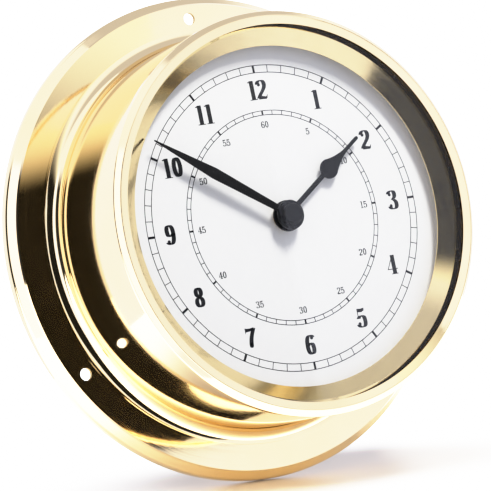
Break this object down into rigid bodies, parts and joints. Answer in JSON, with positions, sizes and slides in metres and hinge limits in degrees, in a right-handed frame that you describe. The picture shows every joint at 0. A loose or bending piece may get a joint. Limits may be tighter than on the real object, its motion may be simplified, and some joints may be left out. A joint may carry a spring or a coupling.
{
  "type": "ships clock",
  "caption": "Round brass ship's clock with a flanged drum case, glazed white dial, two hands and a geared battery movement.",
  "frame": {"origin": "centre of the mounting-hole circle, on the front face of the flange", "axes": "-Y points out of the dial towards the reader, +Z to 12 o'clock, +X to 3 o'clock; the bulkhead is the plane of the rim's rear edge"},
  "size_m": [0.125, 0.0397, 0.125],
  "materials": {
    "brass": "polished and lacquered",
    "brass_reflector": "mirror polished",
    "glass": "clear mineral glass",
    "gasket": "soft black ring",
    "white_plastic": "smooth white",
    "dial": "matt white lacquer on aluminium, printed in black",
    "brass_plain": "turned, unpolished",
    "hands": "gloss black lacquer",
    "housing": "fine-textured black moulding",
    "steel": "bright zinc plate",
    "gear_plastic": "natural acetal",
    "magnet": "dark sintered magnet",
    "lamination": "annealed sheet",
    "winding": "enamelled copper wire",
    "board": "green glass-fibre board",
    "chip": "black potting",
    "knob": "red moulding",
    "battery": "plain shrink sleeve with bare ends",
    "contact": "nickel-plated spring strip"
  },
  "bodies": {
    "case": {"case_shell": "brass", "bezel": "brass", "glass": "glass", "glass_gasket": "gasket", "reflector_ring": "brass_reflector", "spacer_ring": "white_plastic", "dial_plate": "dial", "dial_seat_ring": "brass_plain", "movement_base": "housing", "movement_cover": "housing", "centre_bush": "brass_plain", "train_bridge": "white_plastic", "bridge_screws": "steel", "dial_feet": "brass_plain", "movement_screws": "steel", "stator": "lamination", "coil_core": "lamination", "coil_bobbin": "white_plastic", "coil_winding": "winding", "stator_screws": "steel", "circuit_board": "board", "control_chip": "chip", "quartz_crystal": "contact", "negative_contact": "contact", "positive_contact": "contact"},
    "minute_hand_set": {"centre_arbor": "steel", "clutch_spring": "contact", "minute_hand": "hands", "hand_cap": "hands"},
    "hour_hand_set": {"hour_wheel": "gear_plastic", "hour_hand": "hands"},
    "setting_arbor": {"minute_wheel": "gear_plastic", "setting_knob": "knob"},
    "centre_wheel_body": {"centre_wheel": "gear_plastic"},
    "third_wheel_body": {"third_wheel": "gear_plastic"},
    "seconds_wheel_body": {"seconds_wheel": "gear_plastic"},
    "intermediate_wheel_body": {"intermediate_wheel": "gear_plastic"},
    "rotor": {"rotor_pinion": "gear_plastic", "rotor_magnet": "magnet"},
    "battery_cell": {"battery": "battery"}
  },
  "joints": [
    {"name": "minute_hand_spin", "type": "hinge", "parent": "case", "child": "minute_hand_set", "pos_m": [0, 0, 0], "axis": [0, 1, 0], "continuous": true},
    {"name": "hour_hand_spin", "type": "hinge", "parent": "case", "child": "hour_hand_set", "pos_m": [0, 0, 0], "axis": [0, 1, 0], "continuous": true},
    {"name": "setting_knob_spin", "type": "hinge", "parent": "case", "child": "setting_arbor", "pos_m": [-0.00866, 0, 0.005], "axis": [0, 1, 0], "continuous": true},
    {"name": "seconds_wheel_spin", "type": "hinge", "parent": "case", "child": "seconds_wheel_body", "pos_m": [0.01362, 0, 0.00668], "axis": [0, 1, 0], "continuous": true},
    {"name": "centre_wheel_spin", "type": "hinge", "parent": "case", "child": "centre_wheel_body", "pos_m": [0, 0, 0], "axis": [0, 1, 0], "continuous": true},
    {"name": "third_wheel_spin", "type": "hinge", "parent": "case", "child": "third_wheel_body", "pos_m": [0.00476, 0, 0.00824], "axis": [0, 1, 0], "continuous": true},
    {"name": "intermediate_wheel_spin", "type": "hinge", "parent": "case", "child": "intermediate_wheel_body", "pos_m": [0.01662, 0, 0.01188], "axis": [0, 1, 0], "continuous": true},
    {"name": "rotor_spin", "type": "hinge", "parent": "case", "child": "rotor", "pos_m": [0.01582, 0, 0.01643], "axis": [0, 1, 0], "continuous": true},
    {"name": "battery_slide", "type": "slide", "parent": "case", "child": "battery_cell", "axis": [0, 1, 0], "range_m": [0, 0.032]}
  ],
  "couplings": [
    {"joint": "hour_hand_spin", "follows": "minute_hand_spin", "ratio": 0.083333},
    {"joint": "setting_knob_spin", "follows": "minute_hand_spin", "ratio": -0.33333},
    {"joint": "centre_wheel_spin", "follows": "seconds_wheel_spin", "ratio": 0.016667},
    {"joint": "third_wheel_spin", "follows": "seconds_wheel_spin", "ratio": -0.125},
    {"joint": "intermediate_wheel_spin", "follows": "seconds_wheel_spin", "ratio": -5},
    {"joint": "rotor_spin", "follows": "seconds_wheel_spin", "ratio": 30}
  ]
}
